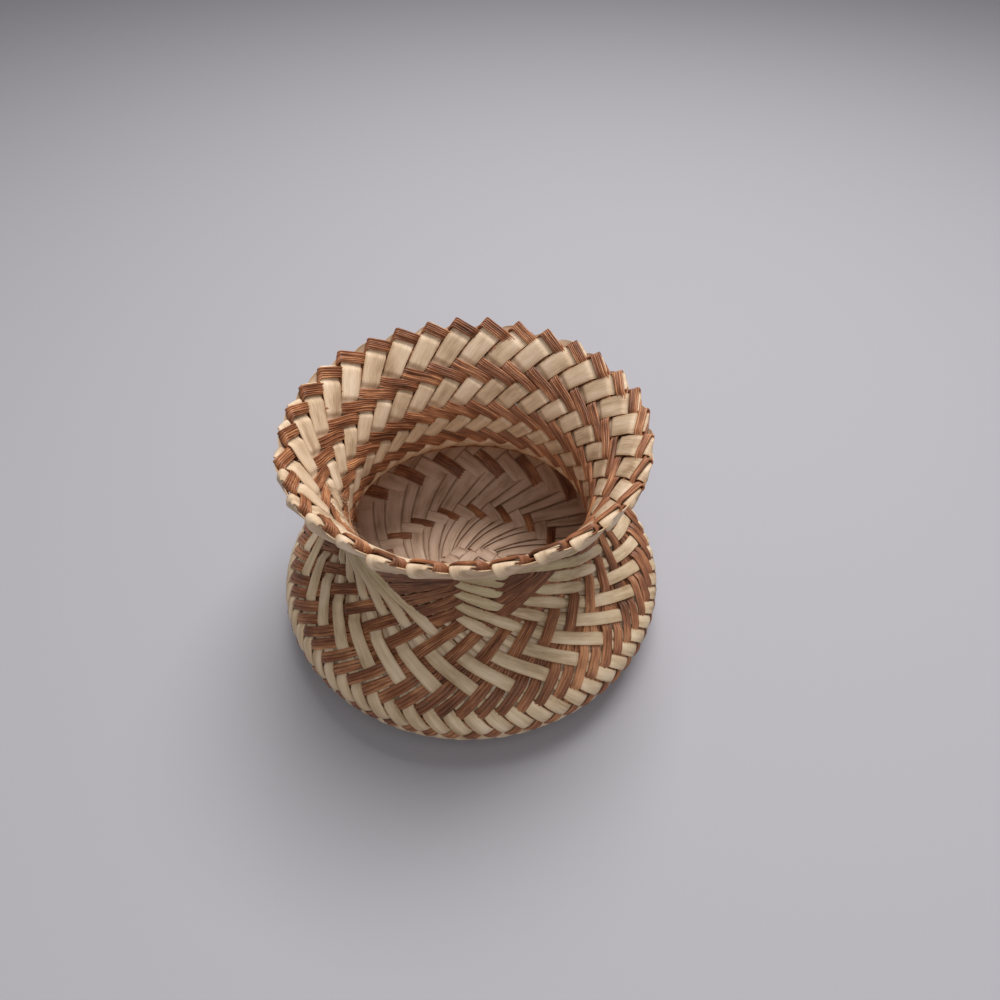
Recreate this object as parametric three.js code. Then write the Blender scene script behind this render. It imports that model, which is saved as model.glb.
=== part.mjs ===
// Vase-shaped basket of palm leaf strips and pine needle bundles.
// A woven inner layer makes the floor, belly, neck and flared mouth. At the rim each strip and each
// bundle folds over a tooth and comes down outside as the outer layer, to the hem round the base.
// Millimetres, +Z up, origin at the middle of the underside.
import * as THREE from 'three';

// Outer form, measured on the wall line: the face where the inner layer meets the outer layer.
const HEIGHT = 108;
const RIM_RADIUS = 70;
const NECK_RADIUS = 51.5;
const BELLY_RADIUS = 81;
const BASE_RADIUS = 57;
const FLARE_HEIGHT = 40;
const FLARE_SWEEP = 1.6;
const NECK_HEIGHT = 12;
const BELLY_HEIGHT = 23;

// Weaving stuff. The first tooth's angle from +X is in degrees.
const TEETH = 32;
const FIRST_TOOTH = 4.5;
const PALM_WIDTH = 7;
const PALM_THICKNESS = 0.4;
const NEEDLE_WIDTH = 5.8;
const NEEDLE_THICKNESS = 0.7;
const INNER_WALL = 1.4;
const CLEARANCE = 0.4;
const LAYER_GAP = 0.6;
const PALM_TURN_IN = 8;
const NEEDLE_TURN_IN = 2;
const HEM_BAND = 4;

// Lean of each family above the horizontal, in degrees, at the rim, the neck and the belly.
const PALM_LEAN = { rim: 50, neck: 38, belly: 45 };
const NEEDLE_LEAN = { rim: 32, neck: 36, belly: 45 };

// Steps of the faceted forms.
const ROUND_STEPS = 40;
const STATION_STEP = 8;
const FOLD_STEPS = 3;
const LINE_SAMPLES = 400;
const GRID = 1 / 256;

const COLOURS = { palm: 0xd6bf9b, needle: 0x8a5540, inner: 0xcbb28c, floor: 0xb49c7e };

// Heights of the layers off the wall line: plus is outwards, minus is inwards.
const needleLow = LAYER_GAP;
const needleHigh = needleLow + NEEDLE_THICKNESS;
const palmLow = needleHigh + LAYER_GAP;
const palmHigh = palmLow + PALM_THICKNESS;
const palmInside = -(INNER_WALL + LAYER_GAP);
const needleInside = palmInside - PALM_THICKNESS - LAYER_GAP;
const floorLevel = palmHigh + CLEARANCE;
const palmFold = (palmLow - palmInside) / 2;
const needleFold = (needleLow - needleInside) / 2;
const toothInset = Math.max(palmFold + PALM_THICKNESS, needleFold + NEEDLE_THICKNESS);

// The wall line, from the rim at 0 down to the edge of the base at 1. The flare opens as a power
// of its height, the shoulder is half a cosine wave, and the turn under the belly is a quarter ellipse.
class WallLine extends THREE.Curve {
  getPoint(t, target = new THREE.Vector3()) {
    const flareFoot = HEIGHT - FLARE_HEIGHT;
    const neckFoot = flareFoot - NECK_HEIGHT;
    const part = Math.min(Math.floor(t * 4), 3);
    const u = t * 4 - part;
    if (part === 0) {
      const r = NECK_RADIUS + (RIM_RADIUS - NECK_RADIUS) * (1 - u) ** FLARE_SWEEP;
      return target.set(r, 0, HEIGHT - FLARE_HEIGHT * u);
    }
    if (part === 1) {
      return target.set(NECK_RADIUS, 0, flareFoot - NECK_HEIGHT * u);
    }
    if (part === 2) {
      const swell = (1 - Math.cos(Math.PI * u)) / 2;
      const r = NECK_RADIUS + (BELLY_RADIUS - NECK_RADIUS) * swell;
      return target.set(r, 0, neckFoot + (BELLY_HEIGHT - neckFoot) * u);
    }
    const angle = (Math.PI / 2) * u;
    const r = BASE_RADIUS + (BELLY_RADIUS - BASE_RADIUS) * Math.cos(angle);
    return target.set(r, 0, BELLY_HEIGHT - (BELLY_HEIGHT - floorLevel) * Math.sin(angle));
  }
}

const wall = new WallLine();
wall.arcLengthDivisions = LINE_SAMPLES;
const wallLength = wall.getLength();

// Distance down the wall line at which the line reaches a share t of its four parts.
function distanceAt(t) {
  const lengths = wall.getLengths(LINE_SAMPLES);
  return lengths[Math.round(t * LINE_SAMPLES)];
}

const neckTop = distanceAt(0.25);
const neckFoot = distanceAt(0.5);
const bellyLine = distanceAt(0.75);

function radiusAt(s) {
  return wall.getPointAt(THREE.MathUtils.clamp(s / wallLength, 0, 1)).x;
}

// A point off the wall line: s down the line, a round the axis, lift along the outward normal.
function place(s, a, lift) {
  const share = THREE.MathUtils.clamp(s / wallLength, 0, 1);
  const point = wall.getPointAt(share);
  const along = wall.getTangentAt(share);
  const r = point.x - along.z * lift;
  return new THREE.Vector3(r * Math.cos(a), r * Math.sin(a), point.z + along.x * lift);
}

function outward(s, a) {
  return place(s, a, 1).sub(place(s, a, 0)).normalize();
}

// Angle of a family above the horizontal at s, in radians.
function leanAt(lean, s) {
  const middle = (neckTop + neckFoot) / 2;
  if (s < middle) {
    return THREE.MathUtils.degToRad(THREE.MathUtils.lerp(lean.rim, lean.neck, s / middle));
  }
  const share = Math.min((s - middle) / (bellyLine - middle), 1);
  return THREE.MathUtils.degToRad(THREE.MathUtils.lerp(lean.neck, lean.belly, share));
}

// How far round the axis a strip of this lean has turned, from the rim down to s.
function turnTable(lean) {
  const table = [0];
  const step = wallLength / LINE_SAMPLES;
  for (let i = 1; i <= LINE_SAMPLES; i++) {
    const s = (i - 0.5) * step;
    table.push(table[i - 1] + step / (Math.tan(leanAt(lean, s)) * radiusAt(s)));
  }
  return (s) => {
    const x = THREE.MathUtils.clamp(s / step, 0, LINE_SAMPLES - 0.001);
    const i = Math.floor(x);
    return THREE.MathUtils.lerp(table[i], table[i + 1], x - i);
  };
}

// Each tooth is a corner: palm strips run along its steep side and fold over its flat side,
// and needle bundles run along its flat side and fold round its steep side.
const pitch = (2 * Math.PI) / TEETH;
const firstTooth = THREE.MathUtils.degToRad(FIRST_TOOTH);
const cornerRadius = radiusAt(toothInset);
const palmRimLean = leanAt(PALM_LEAN, toothInset);
const needleRimLean = leanAt(NEEDLE_LEAN, toothInset);
const cornerSine = Math.sin(palmRimLean + needleRimLean);

function sidePitch(lean, s) {
  return pitch * radiusAt(s) * Math.sin(leanAt(lean, s));
}

// A family of strips: hand is the way it turns round the axis on its way down, across is the lean of
// its folds, and foldWidth is its width where it folds over the edge of a tooth.
function makeFamily(hand, lean, across, width, room) {
  const foldWidth = Math.min(width, sidePitch(lean, toothInset) - room - CLEARANCE);
  const half = foldWidth / (2 * cornerSine);
  return {
    hand,
    lean,
    across,
    half,
    turned: turnTable(lean),
    width: (s) => Math.min(width, sidePitch(lean, s) - CLEARANCE),
    foldS: toothInset + half * Math.sin(across),
    foldA: (-hand * half * Math.cos(across)) / cornerRadius,
  };
}

const besideFold = needleFold + NEEDLE_THICKNESS;
const palms = makeFamily(1, PALM_LEAN, needleRimLean, PALM_WIDTH, besideFold);
const needles = makeFamily(-1, NEEDLE_LEAN, palmRimLean, NEEDLE_WIDTH, 0);

// Angle round the axis of the middle of strip i of a family, at s.
function middle(family, i, s) {
  const turn = family.turned(s) - family.turned(family.foldS);
  return firstTooth + i * pitch + family.foldA + family.hand * turn;
}

// Rings of points are joined one to the next; an open row of rings gets a cap at each end. The points
// lie on a fine grid, which single precision holds exactly.
function skin(rings, loop) {
  const count = rings[0].length;
  const snap = (x) => Math.round(x / GRID) * GRID;
  const position = rings.flat().flatMap((p) => [snap(p.x), snap(p.y), snap(p.z)]);
  const index = [];
  const joins = loop ? rings.length : rings.length - 1;
  for (let a = 0; a < joins; a++) {
    const here = a * count;
    const next = ((a + 1) % rings.length) * count;
    for (let k = 0; k < count; k++) {
      const m = (k + 1) % count;
      index.push(here + k, here + m, next + m);
      index.push(here + k, next + m, next + k);
    }
  }
  if (!loop) {
    const end = (rings.length - 1) * count;
    for (let k = 1; k < count - 1; k++) {
      index.push(0, k + 1, k);
      index.push(end, end + k, end + k + 1);
    }
  }
  const geometry = new THREE.BufferGeometry();
  geometry.setAttribute('position', new THREE.Float32BufferAttribute(position, 3));
  geometry.setIndex(index);
  return geometry;
}

// One level cut across strip i at s, with its faces at the lifts low and high. A ridge cut has one
// point on its high face, over the middle, as a bundle of round needles does.
function levelCut(family, i, s, low, high, ridge) {
  const half = family.width(s) / (2 * radiusAt(s) * Math.sin(leanAt(family.lean, s)));
  const a = middle(family, i, s);
  const top = ridge ? [place(s, a, high)] : [place(s, a - half, high), place(s, a + half, high)];
  return [place(s, a + half, low), place(s, a - half, low), ...top];
}

// The fold over the edge of a tooth: a half turn round an axis that lies along the fold line.
function foldCuts(family, i, outer, inner, thickness, ridge) {
  const s = family.foldS;
  const a = middle(family, i, s);
  const lift = (outer + inner) / 2;
  const bend = (outer - inner) / 2;
  const full = bend + thickness;
  const down = place(s + 1, middle(family, i, s + 1), 0).sub(place(s - 1, middle(family, i, s - 1), 0));
  down.normalize();
  const corner = (side, angle, reach) => {
    const cs = s - family.hand * side * family.half * Math.sin(family.across);
    const ca = a + (side * family.half * Math.cos(family.across)) / radiusAt(cs);
    const arm = outward(cs, ca).multiplyScalar(Math.cos(angle)).addScaledVector(down, -Math.sin(angle));
    return place(cs, ca, lift).addScaledVector(arm, reach);
  };
  return Array.from({ length: FOLD_STEPS + 1 }, (_, k) => {
    const angle = (Math.PI * k) / FOLD_STEPS;
    const top = ridge ? [corner(0, angle, full)] : [corner(-1, angle, full), corner(1, angle, full)];
    return [corner(1, angle, bend), corner(-1, angle, bend), ...top];
  });
}

// Distances down the wall line at which strips and shells are cut.
function stations(from, to) {
  const steps = Math.max(1, Math.ceil((to - from) / STATION_STEP));
  return Array.from({ length: steps + 1 }, (_, k) => from + ((to - from) * k) / steps);
}

// Below the folds the strips and bundles are cut level.
const foldFeet = [palms, needles].map((family) => family.foldS + family.half * Math.sin(family.across));
const toothFoot = Math.max(...foldFeet) + PALM_WIDTH / 2;
const shoulderStations = stations(neckFoot, bellyLine);
const bellyStations = stations(bellyLine, wallLength);
const outerStations = [
  ...stations(toothFoot, neckTop),
  ...stations(neckTop, neckFoot).slice(1),
  ...shoulderStations.slice(1),
  ...bellyStations.slice(1),
];

// The rings of one strip or bundle, from the foot of its outer run up to its fold and a little way
// down inside.
function stripRings(family, i, feet, outer, inner, thickness, turnIn, ridge) {
  const outside = feet.map((s) => levelCut(family, i, s, outer, outer + thickness, ridge));
  const over = foldCuts(family, i, outer, inner, thickness, ridge);
  const inside = stations(toothFoot, toothFoot + turnIn).map((s) => {
    return levelCut(family, i, s, inner, inner - thickness, ridge);
  });
  return [...outside.reverse(), ...over, ...inside];
}

function palmStrip(i) {
  return skin(stripRings(palms, i, outerStations, palmLow, palmInside, PALM_THICKNESS, PALM_TURN_IN, false));
}

// Two neighbouring bundles are one length of needles that turns back along the hem. Each ring there
// has one corner on the outside of the turn, one on the inside, and its ridge between them.
function needlePair(i) {
  const hemTop = wallLength - HEM_BAND;
  const feet = [...outerStations.filter((s) => s < hemTop - HEM_BAND), hemTop - HEM_BAND / 2];
  const bundle = (k) => {
    return stripRings(needles, k, feet, needleLow, needleInside, NEEDLE_THICKNESS, NEEDLE_TURN_IN, true);
  };
  const turnCut = (outerA, innerA) => [
    place(wallLength, outerA, needleLow),
    place(hemTop, innerA, needleLow),
    place((wallLength + hemTop) / 2, (outerA + innerA) / 2, needleHigh),
  ];
  const half = needles.width(hemTop) / (2 * radiusAt(hemTop) * Math.sin(leanAt(NEEDLE_LEAN, hemTop)));
  const first = middle(needles, i, hemTop);
  const second = first + pitch;
  const between = (first + second) / 2;
  return skin([
    ...bundle(i).map(([right, left, ridge]) => [left, right, ridge]).reverse(),
    turnCut(first - half, first + half),
    turnCut(between, between),
    turnCut(second + half, second - half),
    ...bundle(i + 1),
  ]);
}

// A ring of the inner layer: the same number of cuts down the wall line at each angle round the axis.
function innerRing(angles, cutsAt) {
  const rings = angles.map((a, k) => {
    const outside = cutsAt(k).map((s) => place(s, a, 0));
    const inside = cutsAt(k).map((s) => place(s, a, -INNER_WALL));
    return [...outside, ...inside.reverse()];
  });
  return skin(rings, true);
}

function plainRing(cuts) {
  const angles = Array.from({ length: ROUND_STEPS }, (_, k) => (k * 2 * Math.PI) / ROUND_STEPS);
  return innerRing(angles, () => cuts);
}

// A plain ring from one of the stations to another, with half a clearance at each end.
function ringBetween(cuts, from, to) {
  const half = CLEARANCE / 2;
  return plainRing([cuts[from] + half, ...cuts.slice(from + 1, to), cuts[to] - half]);
}

// The upper flare: one row of cuts from the tip of each tooth and one from the foot of its steep side.
function toothedRing(to) {
  const steepShare = Math.tan(needleRimLean) / (Math.tan(palmRimLean) + Math.tan(needleRimLean));
  const toothDepth = pitch * cornerRadius * steepShare * Math.tan(palmRimLean);
  const tip = toothInset + CLEARANCE * 2;
  const steps = stations(tip + toothDepth, to).length - 1;
  const angles = Array.from({ length: TEETH * 2 }, (_, k) => {
    const tooth = firstTooth + Math.floor(k / 2) * pitch;
    return k % 2 === 0 ? tooth : tooth + pitch * steepShare;
  });
  return innerRing(angles, (k) => {
    const top = k % 2 === 0 ? tip : tip + toothDepth;
    return Array.from({ length: steps + 1 }, (_, j) => top + ((to - top) * j) / steps);
  });
}

// A flat round mat with its underside at the given height.
function mat(radius, thickness, bottom) {
  const geometry = new THREE.CylinderGeometry(radius, radius, thickness, ROUND_STEPS);
  geometry.rotateX(Math.PI / 2);
  geometry.translate(0, 0, bottom + thickness / 2);
  return geometry;
}

const basket = new THREE.Group();

function add(name, geometry, colour) {
  geometry.computeVertexNormals();
  const material = new THREE.MeshStandardMaterial({ color: colour, roughness: 0.7, metalness: 0 });
  const mesh = new THREE.Mesh(geometry, material);
  mesh.name = name;
  basket.add(mesh);
}

function number(i) {
  return String(i + 1).padStart(2, '0');
}

function addInnerLayer() {
  const half = CLEARANCE / 2;
  add('base_mat', mat(BASE_RADIUS - CLEARANCE, floorLevel - CLEARANCE, 0), COLOURS.floor);
  add('inner_floor', mat(BASE_RADIUS - CLEARANCE, INNER_WALL, floorLevel), COLOURS.floor);
  const bellySplit = Math.ceil(bellyStations.length / 2);
  const shoulderSplit = Math.floor(shoulderStations.length / 2);
  const shoulderEnd = shoulderStations.length - 1;
  const lowerBelly = [bellyStations[bellySplit] + half, ...bellyStations.slice(bellySplit + 1)];
  add('inner_belly_lower', plainRing(lowerBelly), COLOURS.inner);
  add('inner_belly_upper', ringBetween(bellyStations, 0, bellySplit), COLOURS.inner);
  add('inner_shoulder_lower', ringBetween(shoulderStations, shoulderSplit, shoulderEnd), COLOURS.inner);
  add('inner_shoulder_upper', ringBetween(shoulderStations, 0, shoulderSplit), COLOURS.inner);
  add('inner_neck', plainRing(stations(neckTop + half, neckFoot - half)), COLOURS.inner);
  const flareSplit = neckTop / 2;
  add('flare_throat', plainRing(stations(flareSplit + half, neckTop - half)), COLOURS.inner);
  add('flare_lining', toothedRing(flareSplit - half), COLOURS.inner);
}

function addPalmStrips() {
  for (let i = 0; i < TEETH; i++) {
    add(`palm_strip_${number(i)}`, palmStrip(i), COLOURS.palm);
  }
}

function addNeedlePairs() {
  for (let pair = 0; pair < Math.floor(TEETH / 2); pair++) {
    add(`needle_pair_${number(pair)}`, needlePair(pair * 2), COLOURS.needle);
  }
}

addInnerLayer();
addPalmStrips();
addNeedlePairs();

export default basket;
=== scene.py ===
# Looks of a vase-shaped basket woven from split palm leaf and bundles of pine needles.
# Lengths are in millimetres and become metres when a mesh is made. Every strip, bundle and floor strip
# is a surface worked out on a grid of points.
import bpy
import numpy as np
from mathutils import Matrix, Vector


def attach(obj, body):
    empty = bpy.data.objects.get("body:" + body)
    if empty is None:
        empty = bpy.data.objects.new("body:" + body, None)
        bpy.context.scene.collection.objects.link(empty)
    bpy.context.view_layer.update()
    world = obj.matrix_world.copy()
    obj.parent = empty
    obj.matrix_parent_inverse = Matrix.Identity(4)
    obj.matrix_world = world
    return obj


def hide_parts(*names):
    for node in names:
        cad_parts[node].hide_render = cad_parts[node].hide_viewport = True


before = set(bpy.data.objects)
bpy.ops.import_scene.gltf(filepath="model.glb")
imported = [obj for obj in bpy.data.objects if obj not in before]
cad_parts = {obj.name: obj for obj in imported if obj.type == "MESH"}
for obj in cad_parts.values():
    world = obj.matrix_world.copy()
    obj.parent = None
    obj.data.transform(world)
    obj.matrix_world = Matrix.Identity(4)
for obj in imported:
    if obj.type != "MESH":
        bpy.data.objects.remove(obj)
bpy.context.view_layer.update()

SEED = 11
rng = np.random.default_rng(SEED)
MM = 0.001

# The wall line, where the inner layer of the weave meets the outer one.
HEIGHT = 108.0
RIM_RADIUS = 70.0
NECK_RADIUS = 51.5
BELLY_RADIUS = 81.0
BASE_RADIUS = 57.0
FLARE_HEIGHT = 40.0
FLARE_SWEEP = 1.6
NECK_HEIGHT = 12.0
BELLY_HEIGHT = 23.0
FLOOR_LEVEL = 2.7
LEAD = 12.0  # how far the line is carried on past the rim
FLOOR_RUN = 49.0  # how far it runs in along the base
STRETCH_POINTS = 240  # points on each of its five stretches
LEAD_POINTS = 60

# The weave: one palm strip and one needle bundle to a tooth.
TEETH = 32
FIRST_TOOTH = 4.5  # degrees from +X
PITCH = 2 * np.pi / TEETH
START = np.radians(FIRST_TOOTH) - PITCH / 2

# Lean above the horizontal, in degrees, at distances down the wall line.
PALM_LEAN_INSIDE = ((0, 50), (20, 49), (44, 47), (50, 39), (58, 37), (70, 42), (100, 45), (150, 45))
NEEDLE_LEAN_INSIDE = ((0, 32), (20, 33), (44, 34), (50, 28), (58, 27), (70, 36), (100, 45), (150, 45))
PALM_LEAN_OUTSIDE = (
    (0, 50), (8, 47), (20, 41), (44, 38.5), (60, 38), (72, 35), (84, 34), (90, 48), (101, 47), (150, 45),
)
NEEDLE_LEAN_OUTSIDE = (
    (0, 32), (8, 34), (20, 38), (44, 39), (60, 40), (72, 46), (84, 50), (90, 42), (101, 42), (150, 45),
)

# Lifts off the wall line and thicknesses.
INNER_MIDDLE = -0.95
OUTER_MIDDLE = 1.05
WEAVE_DEPTH = 0.55
PALM_THICKNESS = 0.36
NEEDLE_RADIUS = 0.5
STEP_WIDTH = 0.62  # of a half pitch: the part in which a strip goes from over to under

# Widths of a palm strip and of a needle bundle, at distances down the wall line.
PALM_WIDTH_INSIDE = (
    (0, 5.2), (2.4, 7.0), (4.2, 8.8), (6, 9.2), (20, 7.9), (44, 6.5), (60, 7.4), (100, 11),
)
PALM_WIDTH_OUTSIDE = (
    (0, 4.2), (2.4, 5.8), (5, 8.2), (8, 8.8), (12, 8.1), (22, 6.0), (44, 4.8), (60, 4.9), (90, 5.1),
)
HALF_PALM_WIDTH = 4.9
BUNDLE_WIDTH_INSIDE = ((0, 4.5), (12, 4.7), (44, 4.5), (56, 5.4), (75, 8), (100, 10))
BUNDLE_WIDTH_OUTSIDE = (
    (-4, 4.5), (0, 5.4), (3, 7.4), (14, 7.0), (24, 5.7), (58, 5.6), (66, 4.7), (150, 4.7),
)
HALF_BUNDLE_WIDTH = 4.2
WIDEST = 0.48  # half width of the widest strip, as a share of the pitch

# Rows, counted down from the tooth (row 0).
INSIDE_END = 21.4
OUTSIDE_END = 24.6
SPLIT_ROW = 17.6
LAST_NECK_ROW = 13
FIRST_PALE_ROW = 16
FIRST_HALF_ROW = 18
TURN_HALF_ROW = 5  # half rows below that: the turn of the belly

# The four brown diamonds round the neck.
DIAMOND_PERIOD = 8
DIAMOND_SIZE = 7
DIAMOND_PALM = -15
DIAMOND_NEEDLE = DIAMOND_PALM + 8


def wall_line():
    """The wall line as arrays s, r, z: straight up to the rim, a flare that opens as a power of its
    height, a straight neck, half a cosine wave, a quarter ellipse, and a level run in under the base."""
    u = np.linspace(0, 1, STRETCH_POINTS, endpoint=False)
    flare_foot = HEIGHT - FLARE_HEIGHT
    neck_foot = flare_foot - NECK_HEIGHT
    swell = (1 - np.cos(np.pi * u)) / 2
    turn = np.pi / 2 * u
    r = np.concatenate([
        NECK_RADIUS + (RIM_RADIUS - NECK_RADIUS) * (1 - u) ** FLARE_SWEEP,
        NECK_RADIUS + 0 * u,
        NECK_RADIUS + (BELLY_RADIUS - NECK_RADIUS) * swell,
        BASE_RADIUS + (BELLY_RADIUS - BASE_RADIUS) * np.cos(turn),
        BASE_RADIUS - FLOOR_RUN * u,
    ])
    z = np.concatenate([
        HEIGHT - FLARE_HEIGHT * u,
        flare_foot - NECK_HEIGHT * u,
        neck_foot + (BELLY_HEIGHT - neck_foot) * u,
        BELLY_HEIGHT - (BELLY_HEIGHT - FLOOR_LEVEL) * np.sin(turn),
        FLOOR_LEVEL + 0 * u,
    ])
    way = np.array([r[1] - r[0], z[1] - z[0]])
    way /= np.hypot(*way)
    lead = np.linspace(-LEAD, 0, LEAD_POINTS, endpoint=False)
    r = np.concatenate([r[0] + way[0] * lead, r])
    z = np.concatenate([z[0] + way[1] * lead, z])
    s = np.concatenate([[0], np.cumsum(np.hypot(np.diff(r), np.diff(z)))]) - LEAD
    return s, r, z


S, R, Z = wall_line()
SLOPE = np.stack([np.gradient(R, S), np.gradient(Z, S)])
SLOPE /= np.hypot(*SLOPE)


def from_table(table, s):
    """A value that goes straight from one row of a table (distance, value) to the next."""
    return np.interp(s, *zip(*table))


def mixed(inside, outside, side):
    """The inside value at side 0, the outside one at side 1, and in proportion between them."""
    return (1 - side) * inside + side * outside


def smooth(x):
    """From 0 to 1 as x goes from 0 to 1, level at both ends."""
    x = np.clip(x, 0, 1)
    return x * x * (3 - 2 * x)


def turn_of(lean):
    """Angle round the axis that a strip of this lean has turned at each S, counted from the rim."""
    rate = 1 / (np.tan(lean) * R)
    turned = np.concatenate([[0], np.cumsum((rate[1:] + rate[:-1]) / 2 * np.diff(S))])
    return turned - np.interp(0, S, turned)


class Layer:
    """The lattice of one layer: where palm line a crosses needle line b."""

    def __init__(self, palm_lean, needle_lean, pitch=PITCH, start=START):
        self.lean = {
            "palm": np.radians(from_table(palm_lean, S)),
            "needle": np.radians(from_table(needle_lean, S)),
        }
        self.palm_turn = turn_of(self.lean["palm"])
        self.row = (self.palm_turn + turn_of(self.lean["needle"])) / pitch - 1
        self.pitch = pitch
        self.start = start

    def down(self, row):
        """Distance down the wall line of a row, the needle line's number less the palm line's."""
        return np.interp(row, self.row, S)

    def angle(self, a, s):
        """Angle round the axis of palm line a at distance s down the wall line."""
        return self.start + a * self.pitch + np.interp(s, S, self.palm_turn)


INSIDE = Layer(PALM_LEAN_INSIDE, NEEDLE_LEAN_INSIDE)
OUTSIDE = Layer(PALM_LEAN_OUTSIDE, NEEDLE_LEAN_OUTSIDE)


def off_wall(s, angle, lift):
    """Points in space from the distance down the wall line, the angle round the axis and the lift."""
    r = np.interp(s, S, R) - np.interp(s, S, SLOPE[1]) * lift
    z = np.interp(s, S, Z) + np.interp(s, S, SLOPE[0]) * lift
    return np.stack([r * np.cos(angle), r * np.sin(angle), z], -1)


def spot(a, b, lift, side):
    """Points in space: the crossing of the lines a and b, at a lift off the wall line along its normal.
    side runs from 0, inner layer, to 1, outer layer."""
    s = mixed(INSIDE.down(b - a), OUTSIDE.down(b - a), side)
    return off_wall(s, mixed(INSIDE.angle(a, s), OUTSIDE.angle(a, s), side), lift)


def spacing_at(row, side, family):
    """Distance down the wall line of a row, and the distance there from one line of a family to the
    next, square to them: the arc between them times the sine of their lean."""
    s = mixed(INSIDE.down(row), OUTSIDE.down(row), side)
    lean = mixed(np.interp(s, S, INSIDE.lean[family]), np.interp(s, S, OUTSIDE.lean[family]), side)
    return s, PITCH * np.interp(s, S, R) * np.sin(lean)


def over_under(x, over, step_width=STEP_WIDTH):
    """Runs along a line x of crossings: +1 over, -1 under, with a smooth step at each border."""
    k = np.floor(x).astype(int)
    share = smooth((x - k - 0.5) / step_width + 0.5)
    return over(k) * (1 - share) + over(k + 1) * share


def weave_along(line, over):
    """Over and under along a strip whose place is counted in lines of the other family, where each line
    is two half lines wide."""
    return over_under(2 * line + 0.5, over)


def inside_palm_over(palm, bundle):
    """+1 where half palm strip palm shows on the inside, -1 where half bundle bundle shows: two rows of
    one and two of the other."""
    row = bundle // 2 - palm // 2
    return np.where(((row - 1) % 4) < 2, 1, -1)


def outside_palm_over(palm, bundle):
    """+1 where half palm strip palm shows on the outside, -1 where half bundle bundle shows. Down to the
    neck a crossing is brown within a diamond, apart from the pale line across it. Below come brown rows,
    pale rows and, on the belly, half rows by twos."""
    i, j = palm // 2, bundle // 2
    row = j - i
    start = DIAMOND_PERIOD * ((i - DIAMOND_PALM) // DIAMOND_PERIOD)
    u = i - DIAMOND_PALM - start
    v = j - DIAMOND_NEEDLE - start
    brown = (u < DIAMOND_SIZE) & (v >= 0) & (v < DIAMOND_SIZE) & (np.abs(u + v - DIAMOND_SIZE) > 1)
    over = np.where(brown, -1, 1)
    over = np.where(row > LAST_NECK_ROW, -1, over)
    over = np.where(row >= FIRST_PALE_ROW, 1, over)
    half_row = np.maximum(bundle - palm, 2 * FIRST_HALF_ROW) - 2 * FIRST_HALF_ROW
    # Two half rows brown, two pale, one brown at the turn of the belly, then by twos again.
    later = np.where(half_row < TURN_HALF_ROW, half_row, half_row + 1)
    return np.where(row >= FIRST_HALF_ROW, np.where(later // 2 % 2 == 0, -1, 1), over)


def unit(v):
    """Vectors of length 1 along the last axis."""
    return v / np.maximum(np.linalg.norm(v, axis=-1, keepdims=True), 1e-9)


WAVE_SINES = 3
WAVE_FASTER = 0.7  # how much faster each sine is than the one before, counted in the first one's rate
WAVE_PEAK = 1.5


def wave(x, size, length):
    """A slow random wave along x: sines of random phase, each one faster and weaker than the last."""
    out = 0
    for k in range(WAVE_SINES):
        phase = rng.uniform(0, 2 * np.pi)
        out = out + np.sin(x / length * (1 + WAVE_FASTER * k) * 2 * np.pi + phase) / (1 + k)
    return size * out / WAVE_PEAK


def length_along(path):
    """Distance along a path of points, from 0 at the first."""
    return np.concatenate([[0], np.cumsum(np.linalg.norm(np.diff(path, axis=0), axis=-1))])


def length_from_fold(path, side):
    """Distance along a path, from 0 where it changes sides: below 0 inside, above 0 outside."""
    along = length_along(path)
    return along - np.interp(0.5, side, along)


def steps(start, end, step):
    """Even places from start to end, about one step apart."""
    return np.linspace(start, end, max(2, int(abs(end - start) / step) + 1))


SHARP_ANGLE = np.radians(55)


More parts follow.
